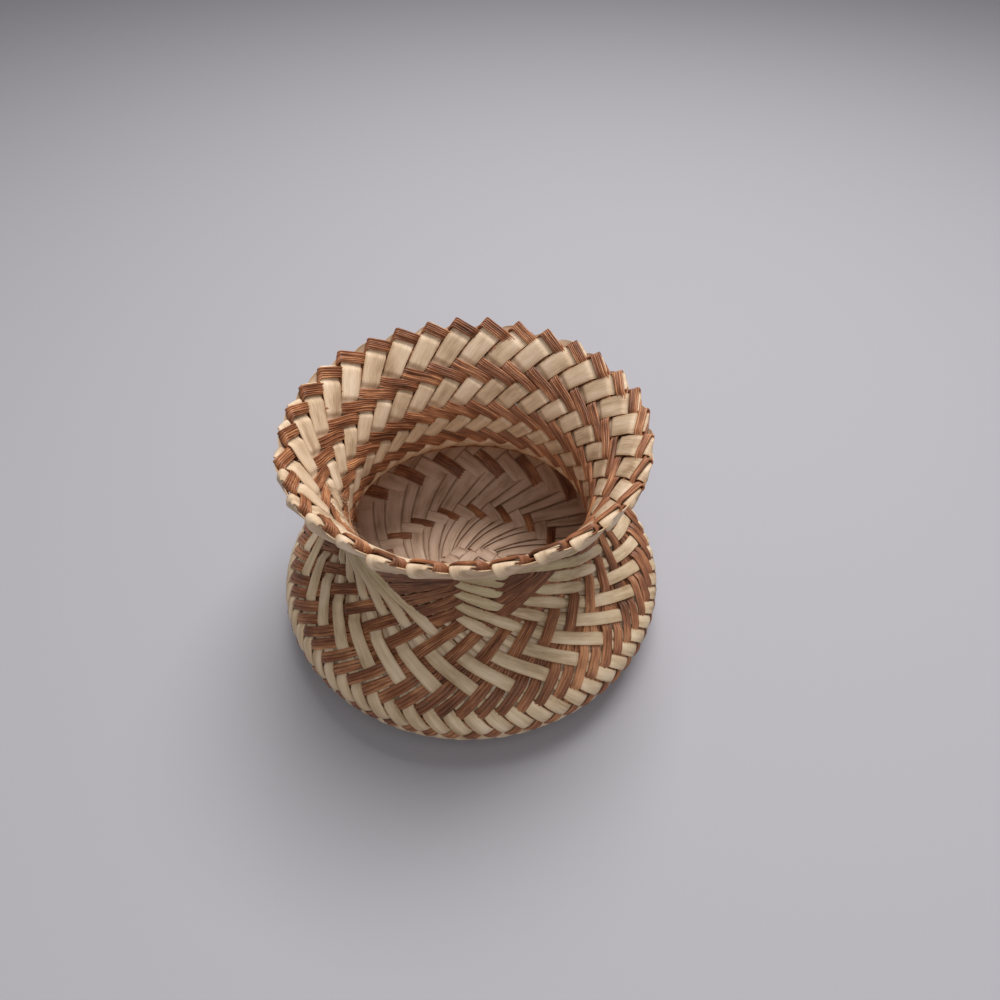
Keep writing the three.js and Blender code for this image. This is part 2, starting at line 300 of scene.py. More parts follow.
class Rings:
    """Closed bodies, each made of rings of points joined one to the next with a cap at each end."""

    def __init__(self):
        self.points, self.corners, self.sizes, self.marks = [], [], [], []
        self.count = 0

    def add(self, rings, across, along):
        """rings is rows by points by 3; across and along are the same without the 3, for the finish.
        Faces whose swept volume comes out below 0 are turned round, so that all look outward."""
        rows, n, _ = rings.shape
        here = np.arange(rows - 1)[:, None] * n + np.arange(n)[None]
        turn = np.arange(rows - 1)[:, None] * n + (np.arange(n)[None] + 1) % n
        quads = np.stack([here, turn, turn + n, here + n], -1).reshape(-1, 4)
        caps = [np.arange(n)[::-1], (rows - 1) * n + np.arange(n)]
        p = rings.reshape(-1, 3) - rings.mean((0, 1))
        q = p[quads]
        swept = np.einsum("ij,ij->i", q[:, 0], np.cross(q[:, 1], q[:, 2]))
        swept = swept.sum() + np.einsum("ij,ij->i", q[:, 0], np.cross(q[:, 2], q[:, 3])).sum()
        if swept < 0:
            quads = quads[:, ::-1]
            caps = [cap[::-1] for cap in caps]
        self.points.append(rings.reshape(-1, 3))
        self.marks.append(np.stack([across, along], -1).reshape(-1, 2))
        self.corners += [quads.reshape(-1) + self.count] + [cap + self.count for cap in caps]
        self.sizes += [np.full(len(quads), 4), np.array([n, n])]
        self.count += rows * n

    def make(self, name, material, slot, nodes):
        """The mesh object, in metres at the origin, riding on the basket and standing for its nodes."""
        points = np.concatenate(self.points) * MM
        corners = np.concatenate(self.corners).astype(np.int32)
        sizes = np.concatenate(self.sizes).astype(np.int32)
        starts = np.concatenate([[0], np.cumsum(sizes)[:-1]]).astype(np.int32)
        mesh = bpy.data.meshes.new(name)
        mesh.vertices.add(len(points))
        mesh.vertices.foreach_set("co", points.astype(np.float32).ravel())
        mesh.loops.add(len(corners))
        mesh.loops.foreach_set("vertex_index", corners)
        mesh.polygons.add(len(sizes))
        mesh.polygons.foreach_set("loop_start", starts)
        mesh.polygons.foreach_set("loop_total", sizes)
        layer = mesh.uv_layers.new(name="strip")
        marks = np.concatenate(self.marks)[corners]
        layer.data.foreach_set("uv", marks.astype(np.float32).ravel())
        mesh.update(calc_edges=True)
        mesh.shade_smooth()
        mesh.set_sharp_from_angle(angle=SHARP_ANGLE)
        mesh.materials.append(material)
        piece = bpy.data.objects.new(name, mesh)
        bpy.context.scene.collection.objects.link(piece)
        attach(piece, "root")
        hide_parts(*nodes)


# Marks for the finish: how far across, with a number of its own for each strip, and how far along.
ACROSS = np.linspace(-1, 1, 7)
STRIP_MARKS = 20  # from one strip's middle to the next one's
EDGE_MARK = 4  # from a strip's middle to its edge
HALF_STRIPS = 100  # number of the first half strip
FLOOR_STRIPS = 300
MAT_STRIPS = 600
FAMILY_STRIPS = 100  # from a family's first number to the next one's
FIBRE_STRIPS = 1200
BUNDLE_MARKS = 16
GROUP_MARKS = 5
FLOOR_NEEDLE_MARKS = (900, 7)  # of the first bundle, and from one bundle to the next
MAT_NEEDLE_MARKS = (700, 16)
NEEDLE_MARK = 0.35  # from a needle's middle to its side
BELLY_ALONG = 100  # along mark of a half strip's start, past the painted shade of the neck
FLOOR_ALONG = 300


def ribbon(body, middle, number, along):
    """A thin closed palm strip round a grid of middle points: half the thickness to each side of the
    grid along its own normal, the cross product of the grid's two directions."""
    normal = unit(np.cross(np.gradient(middle, axis=0), np.gradient(middle, axis=1)))
    high = middle + normal * PALM_THICKNESS / 2
    low = middle - normal * PALM_THICKNESS / 2
    rings = np.concatenate([high, low[:, ::-1]], 1)
    across = ACROSS[None] * EDGE_MARK + STRIP_MARKS * number + 0 * along[:, None]
    along = along[:, None] + 0 * across
    body.add(rings, np.concatenate([across, across[:, ::-1]], 1), np.concatenate([along, along], 1))


NEEDLE_SIDES = 7
NEEDLE_UNEVEN = (0.65, 1.35)  # thinnest and thickest, before they are made to fill the bundle
NEEDLE_FILL = 0.53  # half width of a needle as a share of its lane: neighbours just touch
NEEDLE_FLATTEST = 1.6  # its greatest half width, in radii


def lanes_of(count):
    """Places and widths of needles side by side, of uneven widths that add up to 1."""
    widths = rng.uniform(*NEEDLE_UNEVEN, count)
    widths /= widths.sum()
    return np.cumsum(widths) - widths / 2 - 0.5, widths


def round_needles(body, middle, lanes, widths, along, first_mark):
    """Needles side by side round a grid of middle points, one column each: an ellipse as wide as its
    share of the bundle and about as high, turned by the grid's own directions."""
    way = unit(np.gradient(middle, axis=0))
    beside = np.gradient(middle, lanes, axis=1)
    half = np.linalg.norm(beside, axis=-1, keepdims=True) * widths[None, :, None] * NEEDLE_FILL
    half = np.minimum(half, NEEDLE_FLATTEST * NEEDLE_RADIUS)
    beside = unit(beside - way * np.sum(beside * way, -1, keepdims=True))
    normal = np.cross(way, beside)
    turn = (np.arange(NEEDLE_SIDES) + 0.5) / NEEDLE_SIDES * 2 * np.pi
    for k in range(middle.shape[1]):
        flat = half[:, k, None] * beside[:, k, None] * np.cos(turn)[None, :, None]
        tall = NEEDLE_RADIUS * normal[:, k, None] * np.sin(turn)[None, :, None]
        rings = middle[:, k, None] + flat + tall
        mark = first_mark + k + 0.5 + NEEDLE_MARK * np.cos(turn)[None] + 0 * along[:, None]
        body.add(rings, mark, along[:, None] + 0 * mark)


# The fold of a palm strip, counted in needle lines from its own, and of a bundle, in palm lines.
FOLD_STEPS = 9
RUN_STEP = 0.13  # of a pitch, between two rings of a strip
PALM_FOLD = -0.50
PALM_REACH = 0.04  # how far the fold stands out past that
NEEDLE_FOLD = 0.42
NEEDLE_REACH = 0.1

# How the layers open out at the rim. Distances down it are in rows.
NEAR_FADES = 1.6
PALM_OPENING = 1.0  # how far the outer run of a palm stands off the inner one near its tooth
OPENING_LATER = 0.3  # the share of it that comes only below the fold
OPENING_TWIST = 0.8  # how much more it is at one edge of the strip, and less at the other
OPENING_GROWS = 0.45
OPENING_FADES = 1.7
CORNER_REACH = 0.28  # how much farther a wide open fold stands out at that one edge
CORNER_FROM = 0.45  # the opening at which that begins
PALM_ASIDE = 0.34  # how far the outer run of a palm lies to the side of the inner one below its tooth
BUNDLE_OUTER_ASIDE = 0.15  # the same for a bundle
ASIDE_GROWS = 1.0
ASIDE_KEEPS = 3.0
ASIDE_FADES = 5.0
BUNDLE_ASIDE = -0.17  # how far a bundle draws toward its palm's fold on the inside, on the far side
OPEN_SIDE_LESS = 0.8  # the share of it that is missing on the open side
BUNDLE_TUCK = 0.14  # how far it stays clear of it on the outside
FOLD_PINCH = 0.9  # how far the outer run is drawn in at a fold on the far side
EDGE_PINCH = 1.7  # how far it is drawn in at one edge of every fold
PINCH_FADES = 0.22
FOLD_LOWER = 0.13  # how much lower a palm folds on the far side, behind its needles

# How each tooth differs a little from the next, and the open side from the far one.
OPEN_SIDE = 245  # degrees: the side of the rim where the folds stand open most
OPENINGS = (0.55, 1.3)
FAR_OPENING = 0.35  # what is left of them on the far side, and how much more there is on the open one
MORE_OPENING = 1.15
LEANS = (0.1, 1.9)
ASIDES = (0.55, 1.35)
REACHES = (-0.08, 0.07)
tooth_opening = rng.uniform(*OPENINGS, TEETH)
open_share = 0.5 + 0.5 * np.cos(START + PITCH * np.arange(TEETH) - np.radians(OPEN_SIDE))
tooth_opening *= FAR_OPENING + MORE_OPENING * open_share
tooth_pinch = FOLD_PINCH * (1 - open_share)
edge_pinch = (EDGE_PINCH - tooth_pinch) / 2
tooth_lean = rng.uniform(*LEANS, TEETH)
tooth_aside = rng.uniform(*ASIDES, TEETH)
tooth_reach = rng.uniform(*REACHES, TEETH)


def near_tooth(row):
    """1 at the fold, fading away down the rows as an exponential."""
    return np.exp(-np.maximum(row + 0.5, 0) / NEAR_FADES)


def aside_share(row, side):
    """From 0 at the fold to 1 a little below it, and back to 0 toward the neck, on the outside."""
    return side * smooth((row + 0.5) / ASIDE_GROWS) * (1 - smooth((row - ASIDE_KEEPS) / ASIDE_FADES))


def folded_run(fold_at, reach, inside_end, outside_end, inside_lift, outside_lift):
    """A path up the inside, over a fold and down the outside, as arrays: the line that the strip is
    crossing, its lift and its side. The fold is half a turn whose reach is counted in lines, below 0
    toward the lower ones."""
    up = steps(inside_end, fold_at, RUN_STEP)
    down = steps(fold_at, outside_end, RUN_STEP)
    half_turn = np.linspace(0, np.pi, FOLD_STEPS)[1:-1]
    low, high = inside_lift(np.array([fold_at]))[0], outside_lift(np.array([fold_at]))[0]
    over = (low + high) / 2 - (high - low) / 2 * np.cos(half_turn)
    line = np.concatenate([up, fold_at + reach * np.sin(half_turn), down])
    lift = np.concatenate([inside_lift(up), over, outside_lift(down)])
    side = np.concatenate([0 * up, (1 - np.cos(half_turn)) / 2, 0 * down + 1])
    return line, lift, side


# A palm strip's shape across its width, on the flare and belly and on the neck.
PALM_CROWN = 0.3
PALM_TILT = 0.24
NECK_CROWN = 0.9
NECK_TILT = 0.25
EDGES_SINK = 0.3  # how far the edges of a strip of the neck lie lower
LEAF_WAIST = 0.5  # how much narrower a strip of the neck is where it dives under than at its middle
TWIST_EASE = 0.8  # how much steeper than a straight line the twist is at the strip's middle
NECK_FROM = 14  # distance down the wall line, and over how far it comes in
NECK_GROWS = 14
NECK_TO = 66
NECK_FADES = 8

# Half strips on the belly. Places are in rows from the split.
SPLIT_LAP = 0.6  # how far above the split they begin
PARTING_FROM = -0.4
PARTING_RUN = 1.5
UNDER_DEPTH = 0.25  # how much lower they lie under the end of the whole strip
UNDER_TO = 0.3
UNDER_FADES = 0.4
HALF_ASIDE = 0.2  # how far from each other, in pitches, and how much more when they have parted
HALF_ASIDE_MORE = 0.3

# A leaf of the neck gets narrower by the share of the places near it at which it dives under.
SHOWS_REACH = 1.1  # how far to each side those places lie, in lines
SHOWS_PLACES = 9

# Slow random waves of a palm strip: size and length in rows.
PALM_WANDER = (0.014, 5.0)  # sideways, in pitches
EDGE_RIPPLE = (0.09, 3.1)
MIDDLE_RIPPLE = (0.06, 2.3)


def palm_half_width(row, side, width):
    """Half the width of a palm strip, counted in pitches: the width over the spacing of the strips. A
    whole strip has no width of its own here and follows the tables."""
    s, spacing = spacing_at(row, side, "palm")
    if width is None:
        width = mixed(from_table(PALM_WIDTH_INSIDE, s), from_table(PALM_WIDTH_OUTSIDE, s), side)
        return np.minimum(width / spacing / 2, WIDEST)
    return np.minimum(width / spacing / 2, WIDEST / 2)


def on_neck(row, side):
    """1 on the outside of the neck, fading to 0 above and below it."""
    s = OUTSIDE.down(row)
    return side * smooth((s - NECK_FROM) / NECK_GROWS) * (1 - smooth((s - NECK_TO) / NECK_FADES))


def palm_grid(i, line, lift, side, aside, width=None, shows=None, twist=0.0, corner=0.0):
    """Middle points of a palm strip: it crosses needle line after needle line, its cross lines lie
    along the needles, it is crowned across its width as a parabola and tilts a little one way. On the
    neck it is more so, and the strip narrows where it doesn't show. A twist lifts one edge and lowers
    the other, and a corner carries the fold farther out at one edge."""
    row = line - i
    neck = on_neck(row, side)
    half = palm_half_width(row, side, width)
    if shows is not None:
        half = half * (1 - neck * LEAF_WAIST * (1 - shows))
    across = ACROSS[None]
    a = i + aside + wave(row, *PALM_WANDER)
    a = a[:, None] + half[:, None] * across
    bulge = 2 * np.sqrt(side * (1 - side))[:, None]
    b = line[:, None] - corner * bulge * (1 - across) / 2
    sign = 2 * side[:, None] - 1
    crown = (PALM_CROWN + (NECK_CROWN - PALM_CROWN) * neck)[:, None]
    tilt = (PALM_TILT + (NECK_TILT - PALM_TILT) * neck)[:, None]
    shape = crown * (1 - across ** 2) - tilt * across - EDGES_SINK * neck[:, None]
    shape = shape - (twist + 0 * line)[:, None] * ((1 + TWIST_EASE) * across - TWIST_EASE * across ** 3)
    ripple = wave(row, *EDGE_RIPPLE)[:, None] * across + wave(row, *MIDDLE_RIPPLE)[:, None]
    return spot(a, b, lift[:, None] + sign * shape + ripple, side[:, None] + 0 * a)


def whole_strip(body, i):
    """A palm strip from the inside over its tooth and down to the belly. Below the fold the outer run
    stands off the inner one by an opening, which grows and fades as exponentials, and is pinched in
    at the fold itself."""
    fold_at = i + PALM_FOLD + tooth_reach[i] + FOLD_LOWER * (1 - open_share[i])

    def shown(line):
        return weave_along(line, lambda bundle: outside_palm_over(2 * i, bundle))

    def opening(line):
        below = np.maximum(line - fold_at, 0)
        opened = (1 - OPENING_LATER * np.exp(-below / OPENING_GROWS)) * np.exp(-below / OPENING_FADES)
        return PALM_OPENING * tooth_opening[i] * opened

    def at_fold(line):
        return np.exp(-np.maximum(line - fold_at, 0) / PINCH_FADES)

    def inside_lift(line):
        weave = weave_along(line, lambda bundle: inside_palm_over(2 * i, bundle))
        return INNER_MIDDLE - WEAVE_DEPTH * weave

    def outside_lift(line):
        pinch = (tooth_pinch[i] + edge_pinch[i]) * at_fold(line)
        return OUTER_MIDDLE + WEAVE_DEPTH * shown(line) + opening(line) - pinch

    line, lift, side = folded_run(
        fold_at, -PALM_REACH, i + INSIDE_END, i + SPLIT_ROW, inside_lift, outside_lift
    )
    row = line - i
    lift = lift + tooth_lean[i] * near_tooth(row)
    aside = PALM_ASIDE * tooth_aside[i] * aside_share(row, side)
    shifts = np.linspace(-SHOWS_REACH, SHOWS_REACH, SHOWS_PLACES)
    shows = np.mean([shown(line + shift) for shift in shifts], 0) / 2 + 0.5
    twist = (OPENING_TWIST * opening(line) + edge_pinch[i] * at_fold(line)) * side
    corner = CORNER_REACH * max(tooth_opening[i] - CORNER_FROM, 0)
    middle = palm_grid(i, line, lift, side, aside, None, smooth(shows), twist, corner)
    ribbon(body, middle, i, length_from_fold(middle[:, len(ACROSS) // 2], side))


def half_strip(body, i, half):
    """One of the two narrower strips that go on from the end of a whole one to the base: it begins
    under it, moves aside to its own place and gets wider on the way."""
    line = steps(i + SPLIT_ROW - SPLIT_LAP, i + OUTSIDE_END, RUN_STEP)
    apart = smooth((line - i - SPLIT_ROW - PARTING_FROM) / PARTING_RUN)
    weave = weave_along(line, lambda bundle: outside_palm_over(2 * i + half, bundle))
    under = -UNDER_DEPTH * smooth((i + SPLIT_ROW + UNDER_TO - line) / UNDER_FADES)
    lift = OUTER_MIDDLE + WEAVE_DEPTH * weave + under
    width = HALF_PALM_WIDTH * (0.5 + 0.5 * apart)
    aside = (half - 0.5) * (HALF_ASIDE + HALF_ASIDE_MORE * apart)
    middle = palm_grid(i, line, lift, 0 * line + 1, aside, width)
    along = length_along(middle[:, len(ACROSS) // 2]) + BELLY_ALONG
    ribbon(body, middle, HALF_STRIPS + 2 * i + half, along)


def woven_palm(i):
    """One palm strip: up the inside, over its tooth and down the outside to the belly, where two
    narrower strips go on under it to the base."""
    body = Rings()
    whole_strip(body, i)
    for half in (0, 1):
        half_strip(body, i, half)
    number = i + 1
    body.make(f"woven_palm_{number:02d}", PALM, "palm", [f"palm_strip_{number:02d}"])


# A bundle's two groups of needles. Distances are down the wall line.
GROUPS = 2
GROUP_NEEDLES = 3
BUNDLE_CROWN = 0.3
NEEDLE_UNEVEN_LIFT = 0.17
NEEDLE_WANDER = 0.014  # sideways, in pitches
WANDER_LENGTHS = (3, 6)  # rows
NEEDLE_RIPPLE = 0.1
RIPPLE_LENGTHS = (2, 5)  # rows
SPREAD_FROM = 76.0
SPREAD_TO = 86.0
HUDDLE = 0.18  # how far two bundles that lie over the same palm draw together, in pitches
HUDDLE_TO = 48
HUDDLE_FADES = 10
HUDDLE_ROW = 3.5  # a row at which a bundle isn't drawn to either side


def needle_group(body, j, group):
    """One of the two groups of needles of bundle j: up the inside, round the steep side of its tooth
    and down the outside to the base. The groups share the bundle's width down to the neck, and over
    the belly each has a bundle's place of its own."""
    bundle = 2 * j + group

    def inside_lift(line):
        weave = weave_along(line, lambda palm: inside_palm_over(palm, bundle))
        return INNER_MIDDLE + WEAVE_DEPTH * weave

    def outside_lift(line):
        weave = weave_along(line, lambda palm: outside_palm_over(palm, bundle))
        return OUTER_MIDDLE - WEAVE_DEPTH * weave

    fold_at = j + NEEDLE_FOLD + tooth_reach[j]
    line, lift, side = folded_run(
        fold_at, NEEDLE_REACH, j - INSIDE_END, j - OUTSIDE_END, inside_lift, outside_lift
    )
    row = j - line
    near = near_tooth(row)
    lift = lift + tooth_lean[j] * near

    s, spacing = spacing_at(row, side, "needle")
    parted = smooth((s - SPREAD_FROM) / (SPREAD_TO - SPREAD_FROM)) * side
    whole = mixed(from_table(BUNDLE_WIDTH_INSIDE, s), from_table(BUNDLE_WIDTH_OUTSIDE, s), side)
    whole = np.minimum(whole / spacing, 2 * WIDEST)
    part = np.minimum(HALF_BUNDLE_WIDTH / spacing, WIDEST)
    width = whole / 2 * (1 - parted) + part * parted

    centre = (group - 0.5) * (whole / 2 * (1 - parted) + 0.5 * parted)
    drawn = BUNDLE_ASIDE * (1 - OPEN_SIDE_LESS * open_share[j])
    centre = centre + mixed(drawn, BUNDLE_TUCK, side) * near
    centre = centre - BUNDLE_OUTER_ASIDE * aside_share(row, side)
    together = HUDDLE * (1 - side) * (1 - near) * (1 - smooth((s - HUDDLE_TO) / HUDDLE_FADES))
    centre = centre - together * np.sin(np.pi / 2 * (row - HUDDLE_ROW))

    lanes, widths = lanes_of(GROUP_NEEDLES)
    b = j + centre[:, None] + width[:, None] * lanes[None]
    a = line[:, None] + 0 * b
    wander = np.stack([wave(row, NEEDLE_WANDER, rng.uniform(*WANDER_LENGTHS)) for _ in lanes], 1)
    rise = np.stack([wave(row, NEEDLE_RIPPLE, rng.uniform(*RIPPLE_LENGTHS)) for _ in lanes], 1)
    off_middle = lanes[None] * (1 + parted[:, None]) + (group - 0.5) * (1 - parted[:, None])
    uneven = rng.uniform(-NEEDLE_UNEVEN_LIFT, NEEDLE_UNEVEN_LIFT, GROUP_NEEDLES)
    shape = uneven + BUNDLE_CROWN * (1 - off_middle ** 2)
    rise = rise + shape * (2 * side[:, None] - 1)
    middle = spot(a, b + wander, lift[:, None] + rise, side[:, None] + 0 * b)
    along = length_from_fold(middle[:, 1], side)
    round_needles(body, middle, lanes, widths, along, BUNDLE_MARKS * j + GROUP_MARKS * group)


def woven_needles(pair):
    """Two neighbouring bundles."""
    body = Rings()
    for j in (2 * pair, 2 * pair + 1):
        for group in range(GROUPS):
            needle_group(body, j, group)
    number = pair + 1
    body.make(f"woven_needles_{number:02d}", NEEDLE, "needle", [f"needle_pair_{number:02d}"])


# The floor inside: the strips run down the belly and in toward the middle, two by two, and cross in
# rings. One line in two of the second family is a bundle of needles.
FLOOR_LINES = 44
FLOOR_TURN = np.radians(1.2)
FLOOR = Layer(((0, 53), (250, 53)), ((0, 45), (250, 45)), 2 * np.pi / FLOOR_LINES, FLOOR_TURN)
FLOOR_FROM = 98.0  # distance down the wall line
FLOOR_TO_RADIUS = 19.0
FLOOR_RUN_STEP = 0.16  # of a pitch, between two rings of a strip
FLOOR_STEP_WIDTH = 0.4  # of a pitch: the part in which a strip goes from over to under
FLOOR_DEPTH = 0.42
FLOOR_MIDDLE = -1.05
FLOOR_CLEAR = 0.9  # how much farther in it lies where it overlaps the wall's inner layer
FLOOR_CLEAR_TO = 104
FLOOR_CLEAR_FADES = 12
FLOOR_CROWN = 0.15
FLOOR_TILT = 0.42
FLOOR_NEEDLES = 4
FLOOR_START_SHIFT = 0.2  # rows
FLOOR_WANDER = (0.015, 4.0)  # size and length in rows
FLOOR_RIPPLE = (0.08, 4.0)
BAND_RADIUS = 53.0  # where the ring of brown rectangles begins
BAND_ROWS = 2  # rows in which the second family lies over
FLOOR_ROWS = 6
LONG_BAND = 8  # rows in which the first family lies over, in from the brown rectangles
WIDE_SHARE, NARROW_SHARE = 0.64, 0.39  # half widths of the strips, in pitches
BUNDLE_SHARE = 0.42
CROWD = 0.2  # how much wider a wide strip gets toward the middle, and narrower a narrow one
CROWD_FROM = 50  # the radius at which that begins
CROWD_RUN = 30


def floor_down(radius):
    """Distance down the wall line at which its level run has this radius."""
    return S[-1] - (radius - R[-1])


FIRST_BAND_ROW = int(np.round(np.interp(floor_down(BAND_RADIUS), S, FLOOR.row)))


def floor_over(p, q):
    """+1 where line p of the first family lies over line q of the second, -1 where it lies under."""
    row = q - p - FIRST_BAND_ROW
    row = np.where(row < BAND_ROWS, row, np.maximum(row - LONG_BAND + FLOOR_ROWS - BAND_ROWS, BAND_ROWS))
    return np.where(row % FLOOR_ROWS < BAND_ROWS, -1, 1)


def floor_lift(s):
    """Lift of the floor's middle: clear of the wall's own inner layer where they overlap."""
    return FLOOR_MIDDLE - FLOOR_CLEAR * (1 - smooth((s - FLOOR_CLEAR_TO) / FLOOR_CLEAR_FADES))


def floor_strip(body, index, family):
    """One line of the floor lattice: a ribbon, or a bundle of needles where the line is an even one of
    the second family."""
    start = np.interp(FLOOR_FROM, S, FLOOR.row)
    end = np.interp(floor_down(FLOOR_TO_RADIUS), S, FLOOR.row)
    row = steps(start + rng.uniform(-FLOOR_START_SHIFT, FLOOR_START_SHIFT), end, FLOOR_RUN_STEP)
    if family == 0:
        line = index + row
        weave = over_under(line, lambda q: floor_over(index, q), FLOOR_STEP_WIDTH)
    else:
        line = index - row
        weave = -over_under(line, lambda p: floor_over(p, index), FLOOR_STEP_WIDTH)
    brown = family == 1 and index % 2 == 0
    if brown:
        lanes, widths = lanes_of(FLOOR_NEEDLES)
        half = 2 * BUNDLE_SHARE + 0 * row
    else:
        lanes = ACROSS
        radius = np.interp(np.interp(row, FLOOR.row, S), S, R)
        crowd = CROWD * smooth((CROWD_FROM - radius) / CROWD_RUN)
        half = (WIDE_SHARE + crowd) if index % 2 else (NARROW_SHARE - crowd)
        half = half + wave(row, *FLOOR_WANDER)
    across = half[:, None] * lanes[None]
    a = (index + across) if family == 0 else line[:, None] + 0 * across
    b = (index + across) if family == 1 else line[:, None] + 0 * across
    s = np.interp(b - a, FLOOR.row, S)
    lift = floor_lift(s) - FLOOR_DEPTH * weave[:, None] + wave(row, *FLOOR_RIPPLE)[:, None]
    if not brown:
        lift = lift - FLOOR_CROWN * (1 - lanes[None] ** 2) + FLOOR_TILT * lanes[None]
    middle = off_wall(s, FLOOR.angle(a, s), lift)
    along = length_along(middle[:, len(lanes) // 2]) + FLOOR_ALONG
    if brown:
        first, each = FLOOR_NEEDLE_MARKS
        round_needles(body, middle, lanes, widths, along, first + each * index)
    else:
        ribbon(body, middle, FLOOR_STRIPS + FAMILY_STRIPS * family + index, along)


# Flat weave: the mat under the base and the patch in the middle of the floor.
MAT_REACH = 57.5
MAT_PITCH = 6.5
MAT_TURN = np.radians(53)
MAT_MIDDLE = 1.0
MAT_RUN_STEP = 1.2
MAT_NEEDLES = 5
MAT_BUNDLE_WIDTH = 5.2
MAT_PALM_HALF_WIDTH = 3.05
MAT_TUCK = 0.5  # how far the ends of the strips are drawn in, and over how much of their length
MAT_TUCK_RUN = 4
MAT_RIPPLE = (0.08, 31.0)
CENTRE_REACH = 25.0
CENTRE_MIDDLE = FLOOR_LEVEL + 2.1


def mat_over(p, q):
    """+1 where strip p of the first family lies over strip q of the second: two over and two under,
    moved on by one from each strip to the next."""
    return np.where((p + q) % 4 < 2, 1, -1)


def flat_weave(palms, needles, reach, height, facing):
    """Two families of straight strips across a disc. Each strip runs as far as the circle lets it, and
    its lift goes over and under the other family by the same rule as the strip it crosses."""
    count = int(reach / MAT_PITCH)
    for family in (0, 1):
        way = np.array([np.cos(MAT_TURN), np.sin(MAT_TURN)])
        if family:
            way = np.array([way[1], -way[0]])
        beside = np.array([-way[1], way[0]])
        for k in range(-count, count + 1):
            at = k * MAT_PITCH
            run = np.sqrt(reach ** 2 - at ** 2)
            x = steps(-run, run, MAT_RUN_STEP)
            # The other family's index runs against or along this strip's own way.
            if family == 0:
                weave = over_under(-x / MAT_PITCH, lambda q: mat_over(k, q), FLOOR_STEP_WIDTH)
            else:
                weave = -over_under(x / MAT_PITCH, lambda p: mat_over(p, k), FLOOR_STEP_WIDTH)
            brown = family == 1 and k % 2 == 0 and needles is not None
            if brown:
                lanes, widths = lanes_of(MAT_NEEDLES)
                lanes = lanes * MAT_BUNDLE_WIDTH
            else:
                lanes = ACROSS * MAT_PALM_HALF_WIDTH
            plan = x[:, None, None] * way + (at + lanes + 0 * x[:, None])[..., None] * beside
            tuck = smooth((np.abs(x) - run + MAT_TUCK_RUN) / MAT_TUCK_RUN) * MAT_TUCK
            lift = facing * (FLOOR_DEPTH * weave - tuck)[:, None] + wave(x, *MAT_RIPPLE)[:, None]
            middle = np.concatenate([plan, (height + lift + 0 * lanes)[..., None]], -1)
            if brown:
                first, each = MAT_NEEDLE_MARKS
                round_needles(needles, middle, lanes, widths * MAT_BUNDLE_WIDTH, x, first + each * k)
            else:
                ribbon(palms, middle, MAT_STRIPS + FAMILY_STRIPS * family + k, x)


def woven_floor():
    """The floor lattice with a flat patch over its open middle."""
    first, second, needles = Rings(), Rings(), Rings()
    for index in range(FLOOR_LINES):
        floor_strip(first, index, 0)
        floor_strip(second if index % 2 else needles, index, 1)
    flat_weave(second, None, CENTRE_REACH, CENTRE_MIDDLE, 1)
    nodes = ["inner_floor", "inner_belly_lower"]
    first.make("floor_strips", SHADED_FLOOR_PALM, "palm", nodes)
    second.make("floor_cross_strips", SHADED_FLOOR_PALM, "palm", nodes)
    needles.make("floor_needles", NEEDLE, "needle", nodes)


def woven_base():
    """The mat under the base."""
    palms, needles = Rings(), Rings()
    flat_weave(palms, needles, MAT_REACH, MAT_MIDDLE, -1)
    palms.make("base_strips", PALM, "palm", ["base_mat"])
    needles.make("base_needles", NEEDLE, "needle", ["base_mat"])


# Frayed fibres.
FIBRES = 18
FIBRE_SIDES = 5
FIBRE_RADIUS = 0.15
FIBRE_POINTS = 14
FIBRE_TAPER = 0.6
FIBRE_STARTS = (22, 36)  # distance down the wall line
FIBRE_RUNS = (7, 15)
FIBRE_PLACES = (184, 218)  # degrees from +X
FIBRE_SWING = 0.1
FIBRE_LIFTS = (0.4, 2.6)
FIBRE_CLEAR = 1.0
FIBRE_WANDER = (0.012, 0.7)


def thread(body, path, radius, mark):
    """A thin round thread: a circle of the given radius square to the path at each of its points."""
    way = unit(np.gradient(path, axis=0))
    beside = unit(np.cross(way, [0, 0, 1]))
    turn = (np.arange(FIBRE_SIDES) / FIBRE_SIDES * 2 * np.pi)[None, :, None]
    ring = beside[:, None] * np.cos(turn) + np.cross(way, beside)[:, None] * np.sin(turn)
    rings = path[:, None] + radius[:, None, None] * ring
    along = length_along(path)[:, None] + 0 * rings[..., 0]
    body.add(rings, mark + 0 * along, along)


def stray_fibres():
    """Frayed fibres inside, at the left of the neck. Each runs down the wall from a random place,
    swings aside in proportion to its run and lifts off the wall as the square of it."""
    body = Rings()
    run = np.linspace(0, 1, FIBRE_POINTS)
    for k in range(FIBRES):
        s = rng.uniform(*FIBRE_STARTS) + rng.uniform(*FIBRE_RUNS) * run
        angle = np.radians(rng.uniform(*FIBRE_PLACES)) + rng.uniform(-FIBRE_SWING, FIBRE_SWING) * run
        angle = angle + wave(run, *FIBRE_WANDER)
        lift = INNER_MIDDLE - FIBRE_CLEAR - rng.uniform(*FIBRE_LIFTS) * run ** 2
        radius = FIBRE_RADIUS * (1 - FIBRE_TAPER * run)
        thread(body, off_wall(s, angle, lift), radius, STRIP_MARKS * (FIBRE_STRIPS + k))
    body.make("stray_fibres", PALM, "palm", ["flare_throat"])


def node_chain(material, nodes):
    """Adds shader nodes from (name, type, settings) and returns them by name."""
    tree = material.node_tree
    made = {}
    for name, kind, settings in nodes:
        node = tree.nodes.new(kind)
        for key, value in settings.items():
            if isinstance(key, int) or key in node.inputs:
                node.inputs[key].default_value = value
            else:
                setattr(node, key, value)
        made[name] = node
    return made


